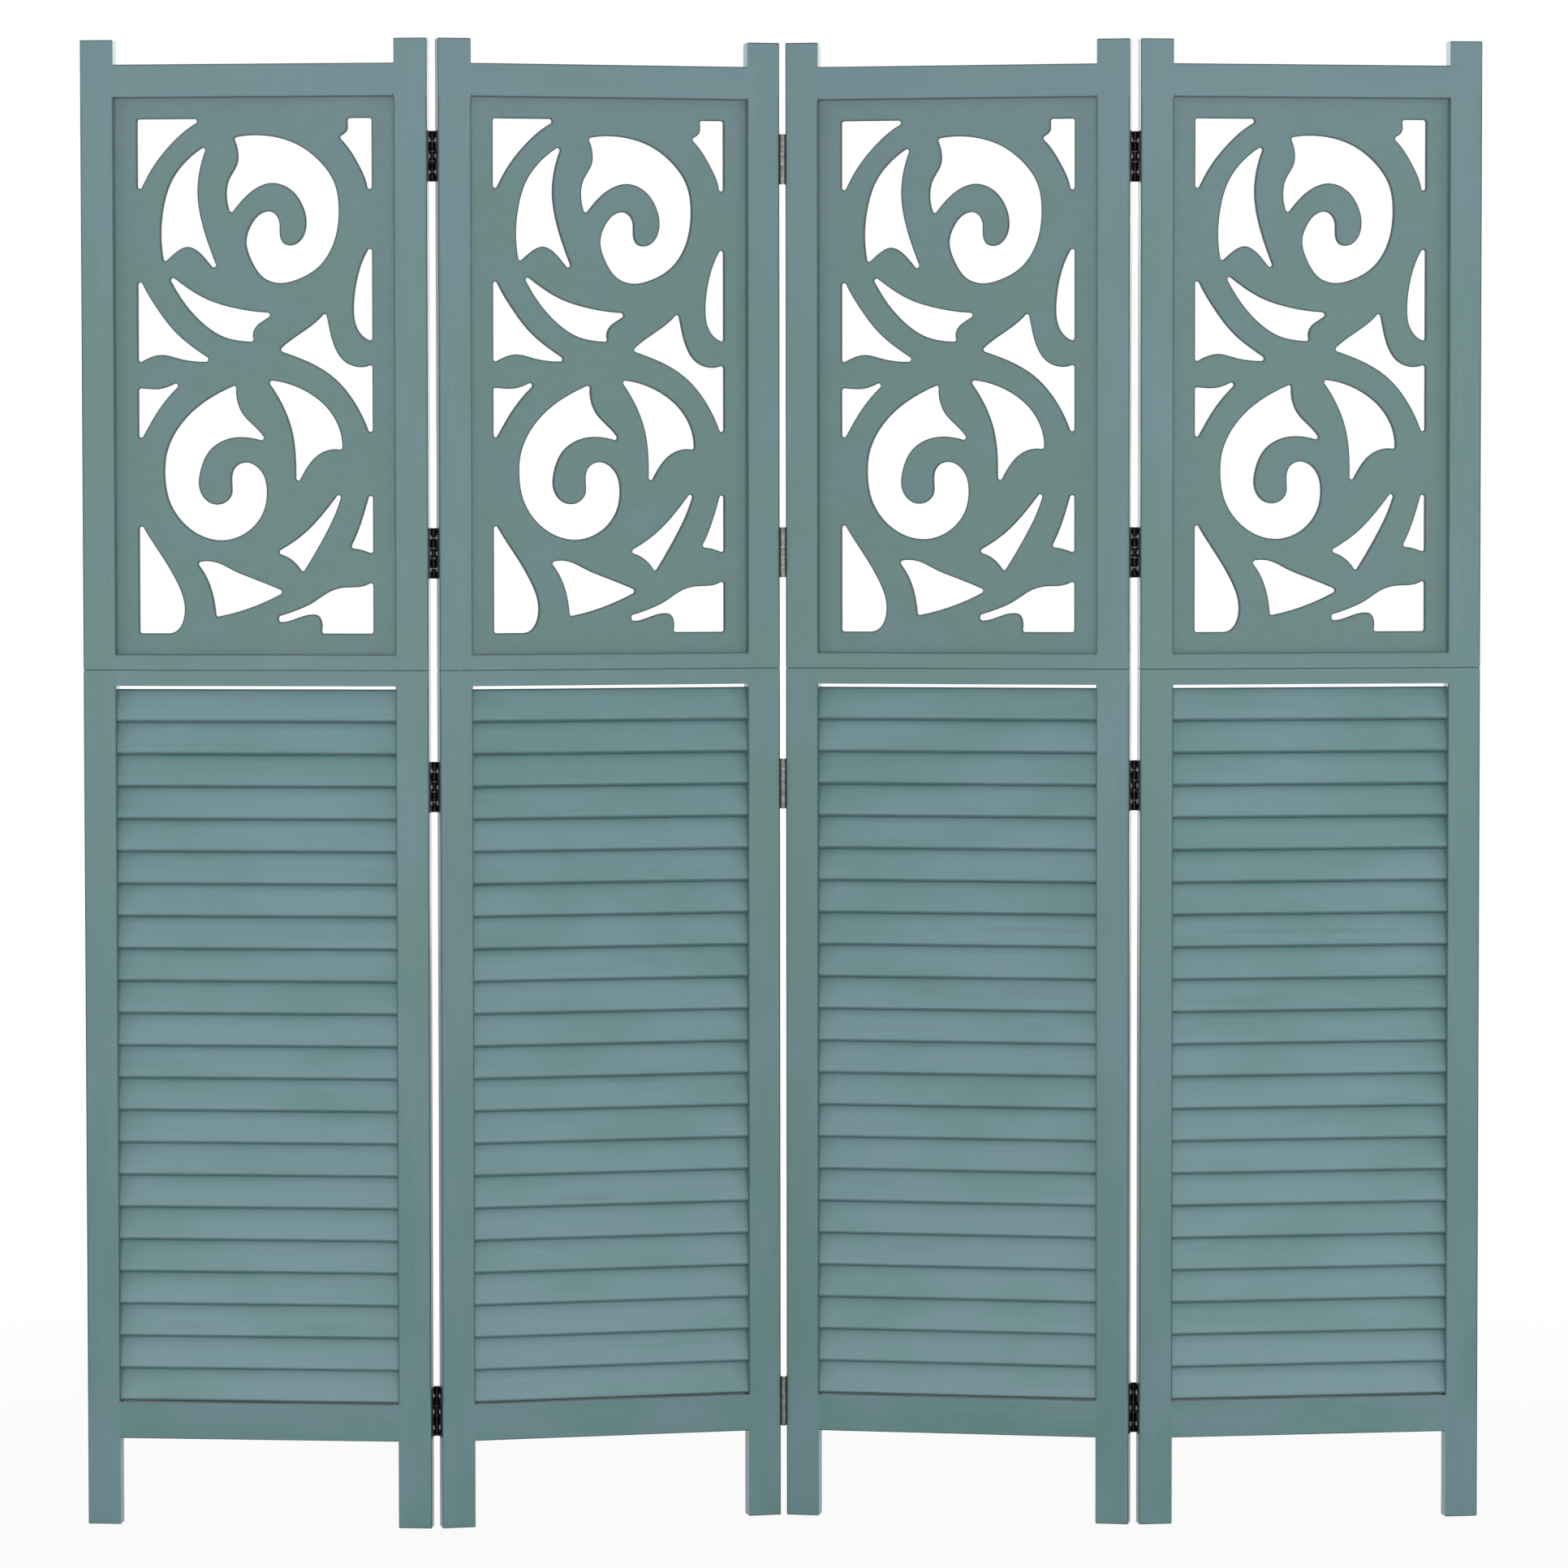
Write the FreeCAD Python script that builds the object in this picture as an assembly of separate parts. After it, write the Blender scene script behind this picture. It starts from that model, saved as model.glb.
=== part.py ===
import FreeCAD, Part
import math
import os

# A folding screen of four hinged panels. Each panel is a frame in two sections, one standing on the
# other: the upper section holds a board pierced with scroll work, the lower one holds fixed louver slats.
# Sizes are in millimetres and degrees. +Z is up and the front of the screen faces -Y.
# A panel is drawn in its own frame: x across from its left edge, y back from its front, z up from the floor.

Vector = FreeCAD.Vector

# Panel frame
SCREEN_HEIGHT = 1700.0
PANEL_WIDTH = 399.0
FRAME_THICKNESS = 19.0
STILE_WIDTH = 38.0
SEAM_HEIGHT = 982.5
POST_RISE = 28.0
TOP_RAIL_HEIGHT = 38.0
UPPER_SEAM_RAIL_HEIGHT = 18.0
LOWER_SEAM_RAIL_HEIGHT = 18.0
BOTTOM_RAIL_HEIGHT = 42.0
LEG_CLEARANCE = 99.5
EDGE_ROUND = 1.5
SEAM_ROUND = 1.0

# Joints inside a panel
TENON_LENGTH = 14.0
TENON_THICKNESS = 8.0
TENON_SHOULDER = 3.0
DOWEL_RADIUS = 4.0
DOWEL_LENGTH = 40.0

# Pierced board
BOARD_THICKNESS = 6.0
GROOVE_DEPTH = 6.0
FIELD_SIDE_MARGIN = 26.5
FIELD_END_MARGIN = 24.0
TIP_RADIUS = 2.7
TIP_SHARE_OF_SIDE = 0.45
RIM_ROUND = 0.7

# Louver slats
SLAT_PITCH = 37.2
SLAT_LAP = 1.3
SLAT_THICKNESS = 5.0
SLAT_TILT = 16.0
SLAT_TENON = 6.0
SLAT_EDGE_ROUND = 1.5
SLOT_OVER_SLATS = 3.5
GAP_UNDER_SLATS = 0.8

# Hinges
HINGE_GAP = 6.0
AXIS_PROUD = 1.5
HINGE_HEIGHT = 57.5
LEAF_SETBACK = 3.0
LEAF_THICKNESS = 1.2
LEAF_RELIEF = 0.4
KNUCKLE_COUNT = 5
KNUCKLE_GAP = 0.3
BARREL_CLEARANCE = 0.1
PIN_RADIUS = 1.5
PIN_CLEARANCE = 0.05
HINGE_INSET = 104.5

# Hinge screws
SCREWS_PER_LEAF = 3
SCREW_END_INSET = 10.5
SCREW_HEAD_RADIUS = 3.0
SCREW_SHANK_RADIUS = 1.6
SCREW_REACH = 14.0
SCREW_POINT = 3.0
RECESS_WIDTH = 0.8
RECESS_LENGTH = 3.4
RECESS_DEPTH = 0.7

# Rest pose seen from above: the first panel's turn and the turn from each panel to the next
FIRST_PANEL_TURN = -5.6
PANEL_TURNS = (19.8, -24.9, 19.5)
HINGE_FACES = ("back", "front", "back")

# Worked-out sizes
RECESS_TOP = SCREEN_HEIGHT - POST_RISE - TOP_RAIL_HEIGHT
RECESS_BOTTOM = SEAM_HEIGHT + UPPER_SEAM_RAIL_HEIGHT
LOUVER_TOP = SEAM_HEIGHT - LOWER_SEAM_RAIL_HEIGHT
LOUVER_BOTTOM = LEG_CLEARANCE + BOTTOM_RAIL_HEIGHT
LEAF_WIDTH = FRAME_THICKNESS - LEAF_SETBACK
BARREL_RADIUS = HINGE_GAP / 2 - BARREL_CLEARANCE

# The scroll work is drawn on a sheet of this size, with its corner at the lower left of the pierced field.
SHEET_WIDTH = 267.0
SHEET_HEIGHT = 586.0

# Each cut-out is a list of sides. A side starts at its corner, bends through its other points as one
# curve and ends at the next side's corner; a side with its corner alone is straight.
TOP_LEFT_WEDGE = [
    [(0, 586)],
    [(77, 586), (57, 574.5), (36, 555), (16, 529), (6.5, 511.5)],
    [(0, 498)],
]
TOP_RIGHT_BEAK = [
    [(239.5, 586)],
    [(267, 586)],
    [(267, 480), (263, 500), (260, 515), (251, 535), (240, 553)],
    [(228.5, 565.5), (235, 568), (239, 572.5), (239.8, 579)],
]
UPPER_LEFT_CRESCENT = [
    [(80.5, 557), (71, 527.5), (68.5, 502.5), (72.3, 472.5), (81, 442.5)],
    [(93, 410.5), (78.5, 425.5), (67, 437), (57.3, 440.8), (46, 436.5)],
    [(29.8, 422.5), (26.5, 453), (29.8, 487.5), (38.5, 515), (57.3, 540)],
]
UPPER_SCROLL = [
    [(109.7, 564.6), (126, 567), (151, 566), (181, 557), (206, 539), (225, 511), (229.3, 482.5),
     (223.5, 445), (206, 417.5), (181, 403), (161, 399.3), (144, 405), (130, 424), (123.8, 447.5),
     (130, 466.5), (142.3, 479), (153, 480), (161, 471), (162.2, 454), (166.8, 444), (176, 442),
     (186, 448), (192.3, 465), (187.3, 489), (174, 506), (153.5, 513), (133.5, 506), (117, 491)],
    [(106.4, 477.7), (101.6, 499), (104.5, 517), (114, 535), (114.6, 550)],
]
RIGHT_SLIVER = [
    [(267, 444)],
    [(267, 333), (258, 337), (249, 349), (245.8, 370), (248.5, 397.5), (256, 424)],
]
LEFT_WEDGE = [
    [(0, 307.5), (11, 314), (27, 318), (45, 314), (64, 310.5)],
    [(85, 311), (68.5, 322), (43.5, 342.5), (22, 370), (7, 395)],
    [(0, 412)],
]
LEFT_LEAF = [
    [(32, 413), (53.5, 396), (78.5, 381), (103.5, 372.5), (128.5, 367.5)],
    [(154.5, 365.3), (142, 356), (134, 349), (131, 341)],
    [(133.3, 332.7), (119, 333.5), (98.5, 338), (73.5, 354), (53.5, 376), (41, 395.5)],
]
RIGHT_FIN = [
    [(160.5, 322.5), (168.5, 330), (191, 346)],
    [(214, 367), (217.3, 351), (223.5, 327.5), (235, 310), (250, 303.5)],
    [(267, 307)],
    [(267, 215), (258.5, 240), (246, 264), (223.5, 291), (198.5, 307.5), (176, 317)],
]
LEFT_SAIL = [
    [(0, 280), (11, 279), (24, 279), (37, 283)],
    [(58.8, 296), (47, 283.5), (36, 272), (21, 252.5), (10, 234)],
    [(0, 216)],
]
LOWER_SCROLL = [
    [(112.2, 284), (91, 274), (66, 257.5), (43.5, 232.5), (31.5, 205), (29.5, 182), (35, 150),
     (51, 125.5), (76, 109.5), (96, 106.5), (123.5, 116), (142, 139), (146, 162), (140, 184.5),
     (122, 195), (110.5, 190), (106, 175), (105.5, 158), (95, 148), (81, 149), (70, 162),
     (70, 185), (82, 210), (103.5, 222.5), (126, 223.5)],
    [(145.7, 218.3), (133.5, 235), (118.5, 251), (113, 264)],
]
RIGHT_CRESCENT = [
    [(146.7, 288.7), (161, 287), (191, 276), (216, 256), (230, 230)],
    [(232.2, 209), (221, 210), (206, 204.5), (192, 189.5)],
    [(179, 165), (179, 200), (175, 231), (165, 259)],
]
RIGHT_LEAF = [
    [(233.3, 167), (225, 139), (211, 110), (197, 85.5)],
    [(186.5, 68.5), (178.5, 80), (172, 85.5)],
    [(154.5, 91.5), (166, 98), (186, 112), (206, 132)],
]
RIGHT_SPIKE = [
    [(267, 173)],
    [(267, 90.5), (257.3, 94.3), (248, 96.6)],
    [(240.4, 97), (247.3, 111), (256, 135)],
]
BOTTOM_LEFT_DROP = [
    [(0, 130.5), (11, 110.5), (27, 86), (42, 60), (50.5, 37.5), (50.5, 17.5), (44, 4.5)],
    [(33, 0)],
    [(0, 0)],
]
BOTTOM_FIN = [
    [(65.5, 80.5), (81, 82.3), (92, 79.6), (107, 72), (131, 62), (153.5, 53)],
    [(166, 47.5), (141, 35), (111, 24.3)],
    [(87.3, 18.8), (84.3, 41.3), (77.3, 62.5)],
]
BOTTOM_RIGHT_SHOE = [
    [(158.8, 19.6), (178.5, 26), (198.5, 35.5), (217, 47.5), (233, 52.2), (250, 53)],
    [(267, 60)],
    [(267, 0)],
    [(207, 0), (208.3, 12), (204.5, 20), (194, 21.5), (176, 16)],
    [(159, 13.4)],
]
CUT_OUTS = (
    TOP_LEFT_WEDGE, TOP_RIGHT_BEAK, UPPER_LEFT_CRESCENT, UPPER_SCROLL, RIGHT_SLIVER, LEFT_WEDGE,
    LEFT_LEAF, RIGHT_FIN, LEFT_SAIL, LOWER_SCROLL, RIGHT_CRESCENT, RIGHT_LEAF, RIGHT_SPIKE,
    BOTTOM_LEFT_DROP, BOTTOM_FIN, BOTTOM_RIGHT_SHOE,
)


def box(x, y, z):
    """A block that spans the given (low, high) pairs."""
    size = [high - low for low, high in (x, y, z)]
    return Part.makeBox(*size, Vector(x[0], y[0], z[0]))


def rounded(shape, radius, wanted):
    """Round the edges whose middle point passes the test."""
    return shape.makeFillet(radius, [edge for edge in shape.Edges if wanted(edge.CenterOfMass)])


def flipped(shape):
    """The same piece for the other side of the panel."""
    return shape.mirror(Vector(PANEL_WIDTH / 2, 0, 0), Vector(1, 0, 0))


def centred(thickness):
    """The (low, high) depth of a layer in the middle of the frame."""
    return (FRAME_THICKNESS - thickness) / 2, (FRAME_THICKNESS + thickness) / 2


def stile(low, high, free_end):
    """A left stile, eased along its outer side and round its free end, and less where the sections meet."""
    blank = box((0, STILE_WIDTH), (0, FRAME_THICKNESS), (low, high))

    def eased(middle):
        return middle.x < EDGE_ROUND / 2 or abs(middle.z - free_end) < EDGE_ROUND / 2

    def at_seam(middle):
        beside_rail = STILE_WIDTH - middle.x < EDGE_ROUND / 2
        return abs(middle.z - SEAM_HEIGHT) < SEAM_ROUND / 2 and not beside_rail

    return rounded(rounded(blank, EDGE_ROUND, eased), SEAM_ROUND, at_seam)


def rail(low, high, tenon_low, tenon_high, eased_height, radius):
    """A rail between the stiles with a stub tenon at each end and one long side eased."""
    blank = box((STILE_WIDTH, PANEL_WIDTH - STILE_WIDTH), (0, FRAME_THICKNESS), (low, high))

    def eased(middle):
        along = abs(middle.x - PANEL_WIDTH / 2) < radius
        return along and abs(middle.z - eased_height) < radius / 2

    body = rounded(blank, radius, eased)
    reach = (STILE_WIDTH - TENON_LENGTH, PANEL_WIDTH - STILE_WIDTH + TENON_LENGTH)
    return body.fuse(box(reach, centred(TENON_THICKNESS), (tenon_low, tenon_high))).removeSplitter()


def top_rail():
    high = SCREEN_HEIGHT - POST_RISE
    tenon_low = RECESS_TOP + GROOVE_DEPTH + TENON_SHOULDER
    return rail(RECESS_TOP, high, tenon_low, high - TENON_SHOULDER, high, EDGE_ROUND)


def upper_bottom_rail():
    low = SEAM_HEIGHT
    tenon_high = RECESS_BOTTOM - GROOVE_DEPTH - TENON_SHOULDER
    return rail(low, RECESS_BOTTOM, low + TENON_SHOULDER, tenon_high, low, SEAM_ROUND)


def lower_top_rail():
    low, high = LOUVER_TOP, SEAM_HEIGHT
    return rail(low, high, low + TENON_SHOULDER, high - TENON_SHOULDER, high, SEAM_ROUND)


def bottom_rail():
    low = LEG_CLEARANCE
    high = LOUVER_BOTTOM
    return rail(low, high, low + TENON_SHOULDER, high - TENON_SHOULDER, low, EDGE_ROUND)


def plain_board():
    """The board before it is pierced, reaching into the grooves all round."""
    reach = (STILE_WIDTH - GROOVE_DEPTH, PANEL_WIDTH - STILE_WIDTH + GROOVE_DEPTH)
    return box(reach, centred(BOARD_THICKNESS), (RECESS_BOTTOM - GROOVE_DEPTH, RECESS_TOP + GROOVE_DEPTH))


def cut_out(sides):
    """A solid that pierces the board along one outline, with its corners rounded as by a router bit."""
    left = STILE_WIDTH + FIELD_SIDE_MARGIN
    low = RECESS_BOTTOM + FIELD_END_MARGIN
    across = (PANEL_WIDTH - 2 * left) / SHEET_WIDTH
    up = (RECESS_TOP - FIELD_END_MARGIN - low) / SHEET_HEIGHT
    edges = []
    for side, following in zip(sides, sides[1:] + sides[:1]):
        points = [Vector(left + x * across, 0, low + y * up) for x, y in side + following[:1]]
        if len(points) == 2:
            edges.append(Part.makeLine(*points))
        else:
            curve = Part.BSplineCurve()
            curve.interpolate(points)
            edges.append(curve.toShape())
    tool = Part.Face(Part.Wire(edges)).extrude(Vector(0, FRAME_THICKNESS, 0))
    corners = [edge for edge in tool.Edges if abs(edge.CenterOfMass.y - FRAME_THICKNESS / 2) < RIM_ROUND]
    shortest = min(edge.Length for edge in edges)
    return tool.makeFillet(min(TIP_RADIUS, TIP_SHARE_OF_SIDE * shortest), corners)


def carved_panel():
    """The pierced board with rounded rims on both faces."""
    board = plain_board().cut(Part.makeCompound([cut_out(sides) for sides in CUT_OUTS]))
    faces = centred(BOARD_THICKNESS)
    outer = plain_board().BoundBox

    def rim(edge):
        middle = edge.CenterOfMass
        on_face = any(abs(middle.y - depth) < RIM_ROUND / 2 for depth in faces)
        inside = outer.XMin + GROOVE_DEPTH < middle.x < outer.XMax - GROOVE_DEPTH
        return on_face and inside and outer.ZMin + GROOVE_DEPTH < middle.z < outer.ZMax - GROOVE_DEPTH

    return board.makeFillet(RIM_ROUND, [edge for edge in board.Edges if rim(edge)])


def louver_slats():
    """Slats leaning forward at the foot, each lapping the next, with their ends let into the stiles."""
    room = LOUVER_TOP - LOUVER_BOTTOM - SLOT_OVER_SLATS - GAP_UNDER_SLATS - SLAT_LAP
    count = round(room / SLAT_PITCH)
    pitch = room / count
    tilt = math.radians(SLAT_TILT)
    height = pitch + SLAT_LAP
    chord = (height - SLAT_THICKNESS * math.sin(tilt)) / math.cos(tilt)
    half = chord / 2
    middle = SLAT_THICKNESS / 2
    ends = (STILE_WIDTH - SLAT_TENON, PANEL_WIDTH - STILE_WIDTH + SLAT_TENON)
    blank = box(ends, (-middle, middle), (-half, half))

    def along(point):
        at_rim = abs(abs(point.z) - half) < SLAT_EDGE_ROUND / 2
        return at_rim and abs(abs(point.y) - middle) < SLAT_EDGE_ROUND / 2

    slat = rounded(blank, SLAT_EDGE_ROUND, along)
    slat.rotate(Vector(), Vector(1, 0, 0), -SLAT_TILT)
    first = LOUVER_BOTTOM + GAP_UNDER_SLATS + height / 2
    places = [Vector(0, FRAME_THICKNESS / 2, first + index * pitch) for index in range(count)]
    return Part.makeCompound([slat.translated(place) for place in places])


def joining_dowels():
    """One dowel in each stile holds the upper section on the lower one."""
    between_edge_and_tenon = (STILE_WIDTH - TENON_LENGTH) / 2
    foot = Vector(between_edge_and_tenon, FRAME_THICKNESS / 2, SEAM_HEIGHT - DOWEL_LENGTH / 2)
    left = Part.makeCylinder(DOWEL_RADIUS, DOWEL_LENGTH, foot)
    return Part.makeCompound([left, flipped(left)])


def hinge_feet():
    """Heights of the lower ends of a gap's four hinges, each as far in from its section's end."""
    return (
        SCREEN_HEIGHT - HINGE_INSET - HINGE_HEIGHT,
        SEAM_HEIGHT + HINGE_INSET,
        SEAM_HEIGHT - HINGE_INSET - HINGE_HEIGHT,
        HINGE_INSET,
    )


def hinge_screws():
    """A leaf's countersunk screws, about a hinge whose axis is the z axis and whose leaf lies at -x."""
    wood = -HINGE_GAP / 2
    face = wood + LEAF_THICKNESS
    inward = Vector(-1, 0, 0)
    depth = -AXIS_PROUD - LEAF_WIDTH / 2
    step = (HINGE_HEIGHT - 2 * SCREW_END_INSET) / (SCREWS_PER_LEAF - 1)
    screws = []
    for index in range(SCREWS_PER_LEAF):
        height = SCREW_END_INSET + index * step
        top = Vector(face, depth, height)
        head = Part.makeCone(SCREW_HEAD_RADIUS, SCREW_SHANK_RADIUS, LEAF_THICKNESS, top, inward)
        shank_end = wood - SCREW_REACH + SCREW_POINT
        shank = Part.makeCylinder(SCREW_SHANK_RADIUS, wood - shank_end, Vector(wood, depth, height), inward)
        point = Part.makeCone(SCREW_SHANK_RADIUS, 0, SCREW_POINT, Vector(shank_end, depth, height), inward)
        screws.append(head.fuse([shank, point]).removeSplitter())
    return screws


def with_recess(screw):
    """Cut the cross recess in a screw's head."""
    head = screw.BoundBox
    inside = (head.XMax - RECESS_DEPTH, head.XMax)
    y = (head.YMin + head.YMax) / 2
    z = (head.ZMin + head.ZMax) / 2
    long = RECESS_LENGTH / 2
    short = RECESS_WIDTH / 2
    upright = box(inside, (y - short, y + short), (z - long, z + long))
    level = box(inside, (y - long, y + long), (z - short, z + short))
    return screw.cut(upright.fuse(level))


def hinge_leaf(parity):
    """A leaf at -x of the axis, with the knuckles whose number has this parity."""
    wood = -HINGE_GAP / 2
    plate_x = (wood, wood + LEAF_THICKNESS)
    back = -AXIS_PROUD - LEAF_WIDTH
    plate = box(plate_x, (back, -BARREL_RADIUS - LEAF_RELIEF), (0, HINGE_HEIGHT))
    height = (HINGE_HEIGHT - (KNUCKLE_COUNT - 1) * KNUCKLE_GAP) / KNUCKLE_COUNT
    bore = Part.makeCylinder(PIN_RADIUS + PIN_CLEARANCE, HINGE_HEIGHT)
    for index in range(parity, KNUCKLE_COUNT, 2):
        low = index * (height + KNUCKLE_GAP)
        strap = box(plate_x, (back, 0), (low, low + height))
        barrel = Part.makeCylinder(BARREL_RADIUS, height, Vector(0, 0, low))
        plate = plate.fuse([strap, barrel])
    return plate.cut(bore).cut(Part.makeCompound(hinge_screws())).removeSplitter()


def hinge_pin():
    return Part.makeCylinder(PIN_RADIUS, HINGE_HEIGHT)


def axis_depth(face):
    """Depth of a hinge axis in a panel, just outside the face that it is on."""
    return FRAME_THICKNESS + AXIS_PROUD if face == "back" else -AXIS_PROUD


def at_hinges(pieces, edge, face):
    """Copies of hinge pieces at each of the four hinges on one edge of a panel, in the panel's frame."""
    if edge == "left":
        axis_x = -HINGE_GAP / 2
        pieces = [piece.mirror(Vector(), Vector(1, 0, 0)) for piece in pieces]
    else:
        axis_x = PANEL_WIDTH + HINGE_GAP / 2
    if face == "front":
        pieces = [piece.mirror(Vector(), Vector(0, 1, 0)) for piece in pieces]
    feet = [Vector(axis_x, axis_depth(face), foot) for foot in hinge_feet()]
    return Part.makeCompound([piece.translated(foot) for foot in feet for piece in pieces])


def frame_pieces():
    """The pieces that every panel has, in the panel's own frame, before its hinges are screwed on."""
    slats = louver_slats()
    dowels = joining_dowels()
    board = plain_board()
    rails = {
        "top_rail": top_rail(),
        "upper_bottom_rail": upper_bottom_rail(),
        "lower_top_rail": lower_top_rail(),
        "bottom_rail": bottom_rail(),
    }
    let_in = [slats, dowels, board, *rails.values()]
    upper = stile(SEAM_HEIGHT, SCREEN_HEIGHT, SCREEN_HEIGHT).cut(let_in)
    lower = stile(0, SEAM_HEIGHT, 0).cut(let_in)
    pieces = {name: shape.cut(board) for name, shape in rails.items()}
    pieces.update({
        "upper_left_stile": upper,
        "upper_right_stile": flipped(upper),
        "lower_left_stile": lower,
        "lower_right_stile": flipped(lower),
        "carved_panel": carved_panel(),
        "louver_slats": slats,
        "joining_dowels": dowels,
    })
    return pieces


def hinge_pieces(gap, edge, face):
    """The leaves, screws and pins that a panel carries on one edge, in the panel's own frame."""
    hand = "left" if edge == "right" else "right"
    parity = 0 if hand == "left" else 1
    screws = [with_recess(screw) for screw in hinge_screws()]
    pieces = {
        f"hinge_leaves_{hand}_{gap}": at_hinges([hinge_leaf(parity)], edge, face),
        f"hinge_screws_{hand}_{gap}": at_hinges(screws, edge, face),
    }
    if hand == "left":
        pieces[f"hinge_pins_{gap}"] = at_hinges([hinge_pin()], edge, face)
    return pieces


def panel_pieces(number, frame, left_face, right_face):
    """Every piece that one panel carries, in the panel's own frame; a face is None at a free edge."""
    pieces = dict(frame)
    hardware = {}
    for edge, face, gap in (("left", left_face, number - 1), ("right", right_face, number)):
        if face is None:
            continue
        hardware.update(hinge_pieces(gap, edge, face))
        holes = at_hinges(hinge_screws(), edge, face)
        for section in ("upper", "lower"):
            name = f"{section}_{edge}_stile"
            pieces[name] = pieces[name].cut(holes)
    named = {f"{name}_{number}": shape for name, shape in pieces.items()}
    named.update(hardware)
    return named


def panel_placements():
    """Where each panel stands in the rest pose, chained from hinge axis to hinge axis."""
    turn = FIRST_PANEL_TURN
    placements = [FreeCAD.Placement(Vector(), FreeCAD.Rotation(Vector(0, 0, 1), turn))]
    for change, face in zip(PANEL_TURNS, HINGE_FACES):
        depth = axis_depth(face)
        axis = placements[-1].multVec(Vector(PANEL_WIDTH + HINGE_GAP / 2, depth, 0))
        turn += change
        rotation = FreeCAD.Rotation(Vector(0, 0, 1), turn)
        corner = axis - rotation.multVec(Vector(-HINGE_GAP / 2, depth, 0))
        placements.append(FreeCAD.Placement(corner, rotation))
    return placements


def assemble():
    """All pieces in the rest pose, with the origin at the middle of the screen's footprint."""
    frame = frame_pieces()
    edges = (None, *HINGE_FACES, None)
    pieces = {}
    for index, placement in enumerate(panel_placements()):
        for name, shape in panel_pieces(index + 1, frame, edges[index], edges[index + 1]).items():
            pieces[name] = shape.transformed(placement.toMatrix())
    bounds = Part.makeCompound(list(pieces.values())).BoundBox
    middle = Vector((bounds.XMin + bounds.XMax) / 2, (bounds.YMin + bounds.YMax) / 2, 0)
    return {name: shape.translated(-middle) for name, shape in pieces.items()}


def main():
    os.makedirs("parts", exist_ok=True)
    pieces = assemble()
    for name, shape in pieces.items():
        shape.exportStep(f"parts/{name}.step")
    print(len(pieces), "pieces")


main()
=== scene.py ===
import math

import bpy
from bpy.props import FloatProperty, FloatVectorProperty, PointerProperty
from mathutils import Matrix, Vector


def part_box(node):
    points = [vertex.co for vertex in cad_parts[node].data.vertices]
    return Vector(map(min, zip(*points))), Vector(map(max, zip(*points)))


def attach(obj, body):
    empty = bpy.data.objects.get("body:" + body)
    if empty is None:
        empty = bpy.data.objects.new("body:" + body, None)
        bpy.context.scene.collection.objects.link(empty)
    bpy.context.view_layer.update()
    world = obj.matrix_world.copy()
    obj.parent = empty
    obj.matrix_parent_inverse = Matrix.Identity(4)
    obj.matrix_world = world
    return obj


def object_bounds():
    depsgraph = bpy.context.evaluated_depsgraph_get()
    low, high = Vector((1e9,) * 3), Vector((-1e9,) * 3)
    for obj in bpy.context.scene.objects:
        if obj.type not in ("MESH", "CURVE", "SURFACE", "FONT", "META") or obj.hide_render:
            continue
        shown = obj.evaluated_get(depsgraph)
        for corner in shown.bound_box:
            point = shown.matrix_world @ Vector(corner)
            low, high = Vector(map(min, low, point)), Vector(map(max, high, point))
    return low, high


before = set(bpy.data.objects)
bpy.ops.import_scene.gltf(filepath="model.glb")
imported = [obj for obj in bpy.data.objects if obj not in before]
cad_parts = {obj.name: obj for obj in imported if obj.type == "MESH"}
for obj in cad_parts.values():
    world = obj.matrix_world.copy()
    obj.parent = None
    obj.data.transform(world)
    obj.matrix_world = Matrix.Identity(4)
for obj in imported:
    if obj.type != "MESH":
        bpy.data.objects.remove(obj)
CAD_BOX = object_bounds()

bl_info = {
    "name": "Folding Screen Finishes",
    "version": (1, 0, 0),
    "blender": (4, 5, 0),
    "location": "View3D > Sidebar > Folding Screen",
    "description": "Paints a four-panel folding screen and stands it on a pale studio floor",
    "category": "Object",
}

# How the screen is divided
PANELS = 4
PANEL_STEP = (CAD_BOX[1].x - CAD_BOX[0].x) / PANELS
SLATS_PER_PANEL = 22
GROOVE_DEPTH = 0.006

# Paint on the faces: where its patches turn hazy, how they pale with height (painted sheen towards the top,
# painted light at the foot), how much of the wood shows
PATCH_TURN = (0.34, 0.68)
SHEEN_START = 0.78
TOP_SHEEN_DRIFT = (-0.08, 0.2)
FOOT_LIGHT_DRIFT = (0.1, 0.0)
SLAT_DRIFT_START = 0.3
SLAT_DRIFT = 0.13
GRAIN_SPAN = (0.25, 0.75)
SPECK_SPAN = (0.3, 0.7)
SPECK_SCALE = 600.0
SPECK_RELIEF = 0.5
TONE_RANGE = (0.97, 1.03)
ROUGHNESS_SPAN = (0.3, 0.7)
ROUGHNESS_SPREAD = 0.03
FIGURE_SCALE = 4.0
FIGURE_SPAN = (0.56, 0.68)
FIGURE_SHARE = 0.18
LINE_SPAN = (0.1, 0.0)

# Paint on the edges: how far wear and painted shade reach in metres, where they set in and how strong they
# are
FADE = 0.0005
SEAM_REACH = 0.002
RIM_REACH = 0.0032
LIP_REACH = 0.0033
EDGE_START = 0.997
RIM_FULL = 0.94
LIP_FULL = 0.965
EDGE_SAMPLES = 6
CORNER_SPAN = (0.955, 0.84)
WALL_SPAN = (0.93, 0.7)
LEDGE_SPAN = (0.6, 0.8)
CORNER_WEAR = 0.8
SEAM_RELIEF = 0.7
STILE_CREASE_SHADE = 0.75
BOARD_FOOT_SHADE = 0.7
RAIL_EDGE_SHADE = 0.9
RIM_WEAR = 0.9
COAT_SPECULAR = 0.5
WORN_SPECULAR = 0.002

# Metal and bare wood
TARNISH_SPAN = (0.35, 0.65)
SCRATCH_SPAN = (0.3, 0.7)
POLISH_SPREAD = 0.07
DOWEL_GRAIN_SPAN = (0.35, 0.65)
DOWEL_ROUGHNESS = 0.65

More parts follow.
